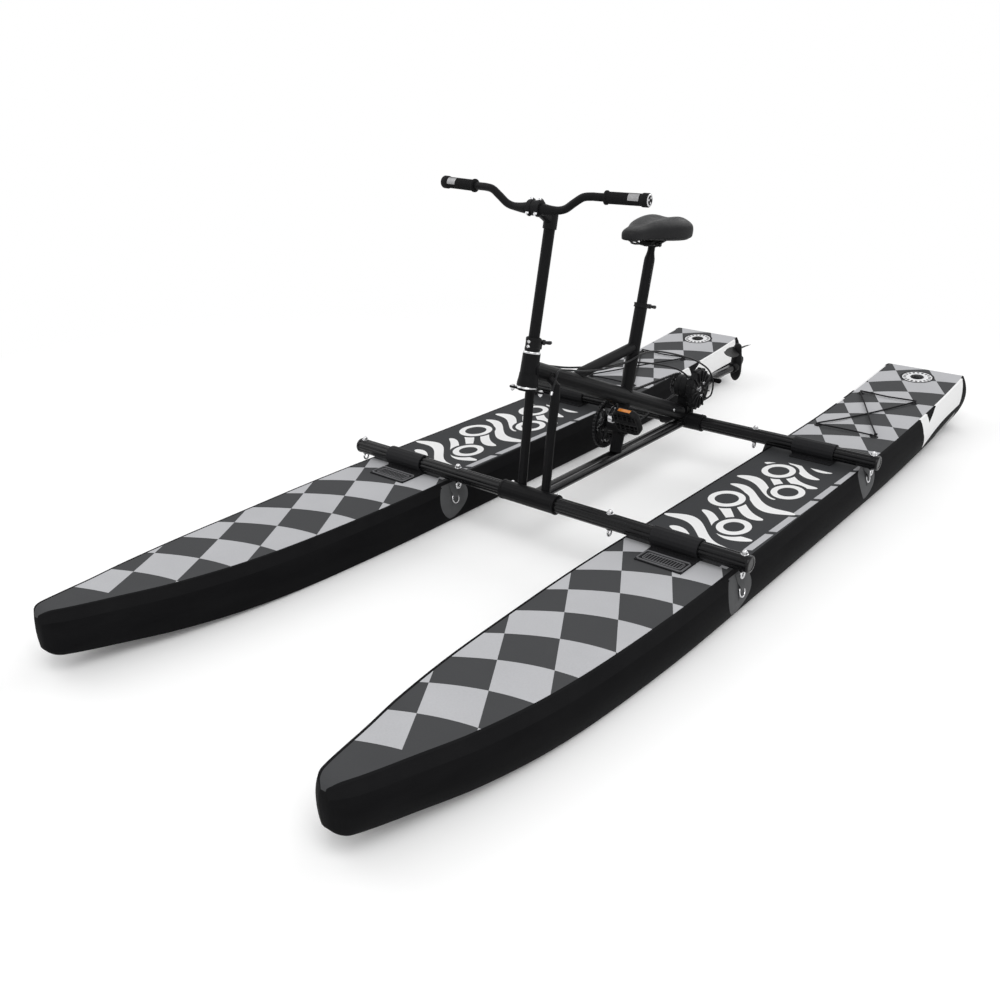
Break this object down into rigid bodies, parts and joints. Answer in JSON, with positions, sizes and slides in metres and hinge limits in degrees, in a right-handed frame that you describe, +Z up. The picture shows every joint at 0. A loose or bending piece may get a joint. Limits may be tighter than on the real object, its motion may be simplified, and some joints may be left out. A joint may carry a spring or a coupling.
{
  "type": "pontoon water bike",
  "caption": "Water bike on twin inflatable hulls: a bicycle frame on cross tubes, with pedals, chain, steerable tilting propeller leg and a height-adjustable saddle and stem.",
  "frame": {"origin": "centre of the bounding box at the plane the hulls rest on", "axes": "+Y from bow to stern, +X to the rider's left, +Z up"},
  "size_m": [1.506, 3.495, 1.1255],
  "materials": {
    "hull": "coated drop-stitch cloth with a ribbed foam deck",
    "arm": "black anodised",
    "saddle_pad": "matte black moulding",
    "stainless": "polished stainless steel",
    "frame_paint": "satin black powder coat",
    "housing": "moulded black resin",
    "grip": "matte black rubber",
    "saddle_cover": "smooth black synthetic cover over foam",
    "crank": "black anodised forging",
    "chain_steel": "dark oiled steel",
    "cord": "braided black elastic cord",
    "cable": "black cable housing"
  },
  "bodies": {
    "frame": {"pontoon_left": "hull", "pontoon_right": "hull", "cross_arm_front_left": "arm", "cross_arm_front_right": "arm", "cross_arm_rear_left": "arm", "cross_arm_rear_right": "arm", "hull_saddle_front_left": "saddle_pad", "hull_saddle_front_right": "saddle_pad", "hull_saddle_rear_left": "saddle_pad", "hull_saddle_rear_right": "saddle_pad", "eye_bolt_front_left_inner": "stainless", "eye_bolt_front_left_outer": "stainless", "eye_bolt_front_right_inner": "stainless", "eye_bolt_front_right_outer": "stainless", "eye_bolt_rear_left_inner": "stainless", "eye_bolt_rear_left_outer": "stainless", "eye_bolt_rear_right_inner": "stainless", "eye_bolt_rear_right_outer": "stainless", "main_beam": "frame_paint", "seat_tube": "frame_paint", "lower_post": "frame_paint", "front_leg_left": "frame_paint", "front_leg_right": "frame_paint", "front_socket": "frame_paint", "rear_socket": "frame_paint", "drive_bracket": "frame_paint", "lower_rail_left": "arm", "lower_rail_right": "arm", "headset_lower": "stainless", "headset_upper": "stainless", "seat_collar": "housing", "drive_case": "housing", "chain": "chain_steel", "deck_cord_left": "cord", "deck_cord_right": "cord", "steering_cable_upper": "cable", "steering_cable_lower": "cable"},
    "seat_lever": {"seat_lever": "stainless"},
    "steering": {"steerer": "frame_paint", "stem_collar": "housing"},
    "stem_lever": {"stem_lever": "stainless"},
    "stem": {"stem_post": "frame_paint", "bar_clamp": "housing", "handlebar": "frame_paint", "grip_left": "grip", "grip_right": "grip"},
    "seat": {"seat_post": "frame_paint", "saddle_rails": "stainless", "saddle": "saddle_cover"},
    "cranks": {"crank_left": "crank", "crank_right": "crank", "chainring": "crank"},
    "pedal_left": {"pedal_left": "housing"},
    "pedal_right": {"pedal_right": "housing"},
    "sprocket": {"drive_sprocket": "chain_steel"},
    "leg_head": {"leg_head": "housing"},
    "leg": {"leg_tube": "arm", "drive_pod": "housing"},
    "leg_shaft": {"leg_shaft": "stainless"},
    "propeller": {"propeller": "housing"}
  },
  "joints": [
    {"name": "steer", "type": "hinge", "parent": "frame", "child": "steering", "pos_m": [0, -0.4125, 0.6], "axis": [0, 0.2164, 0.9763], "range_deg": [-45, 45]},
    {"name": "stem_height", "type": "slide", "parent": "steering", "child": "stem", "axis": [0, 0.2164, 0.9763], "range_m": [-0.2, 0.06]},
    {"name": "stem_lever_turn", "type": "hinge", "parent": "steering", "child": "stem_lever", "pos_m": [0, -0.36281, 0.674], "axis": [1, 0, 0], "range_deg": [0, 100]},
    {"name": "seat_height", "type": "slide", "parent": "frame", "child": "seat", "axis": [0, 0.2402, 0.9707], "range_m": [-0.044, 0.08]},
    {"name": "seat_lever_turn", "type": "hinge", "parent": "frame", "child": "seat_lever", "pos_m": [0, 0.24133, 0.67528], "axis": [1, 0, 0], "range_deg": [0, 100]},
    {"name": "crank_spin", "type": "hinge", "parent": "frame", "child": "cranks", "pos_m": [0, 0.1025, 0.283], "axis": [1, 0, 0], "continuous": true},
    {"name": "pedal_left_spin", "type": "hinge", "parent": "cranks", "child": "pedal_left", "pos_m": [0.124, -0.04619, 0.36542], "axis": [1, 0, 0], "continuous": true},
    {"name": "pedal_right_spin", "type": "hinge", "parent": "cranks", "child": "pedal_right", "pos_m": [-0.124, 0.25119, 0.20058], "axis": [1, 0, 0], "continuous": true},
    {"name": "sprocket_spin", "type": "hinge", "parent": "frame", "child": "sprocket", "pos_m": [0, 0.5725, 0.312], "axis": [1, 0, 0], "continuous": true},
    {"name": "leg_tilt", "type": "hinge", "parent": "frame", "child": "leg_head", "pos_m": [0, 0.6505, 0.3], "axis": [1, 0, 0], "range_deg": [-90, 0]},
    {"name": "leg_steer", "type": "hinge", "parent": "leg_head", "child": "leg", "pos_m": [0, 0.6505, 0.3], "axis": [0, 1, 0], "range_deg": [-45, 45]},
    {"name": "leg_shaft_spin", "type": "hinge", "parent": "leg_head", "child": "leg_shaft", "pos_m": [0, 0.6505, 0.3], "axis": [0, 1, 0], "continuous": true},
    {"name": "propeller_spin", "type": "hinge", "parent": "leg", "child": "propeller", "pos_m": [0, 0.9805, 0.3], "axis": [0, 0, 1], "continuous": true}
  ],
  "couplings": [
    {"joint": "leg_steer", "follows": "steer", "ratio": 1},
    {"joint": "sprocket_spin", "follows": "crank_spin", "ratio": 2.2222},
    {"joint": "leg_shaft_spin", "follows": "crank_spin", "ratio": 2.2222},
    {"joint": "propeller_spin", "follows": "crank_spin", "ratio": 6.6667}
  ]
}
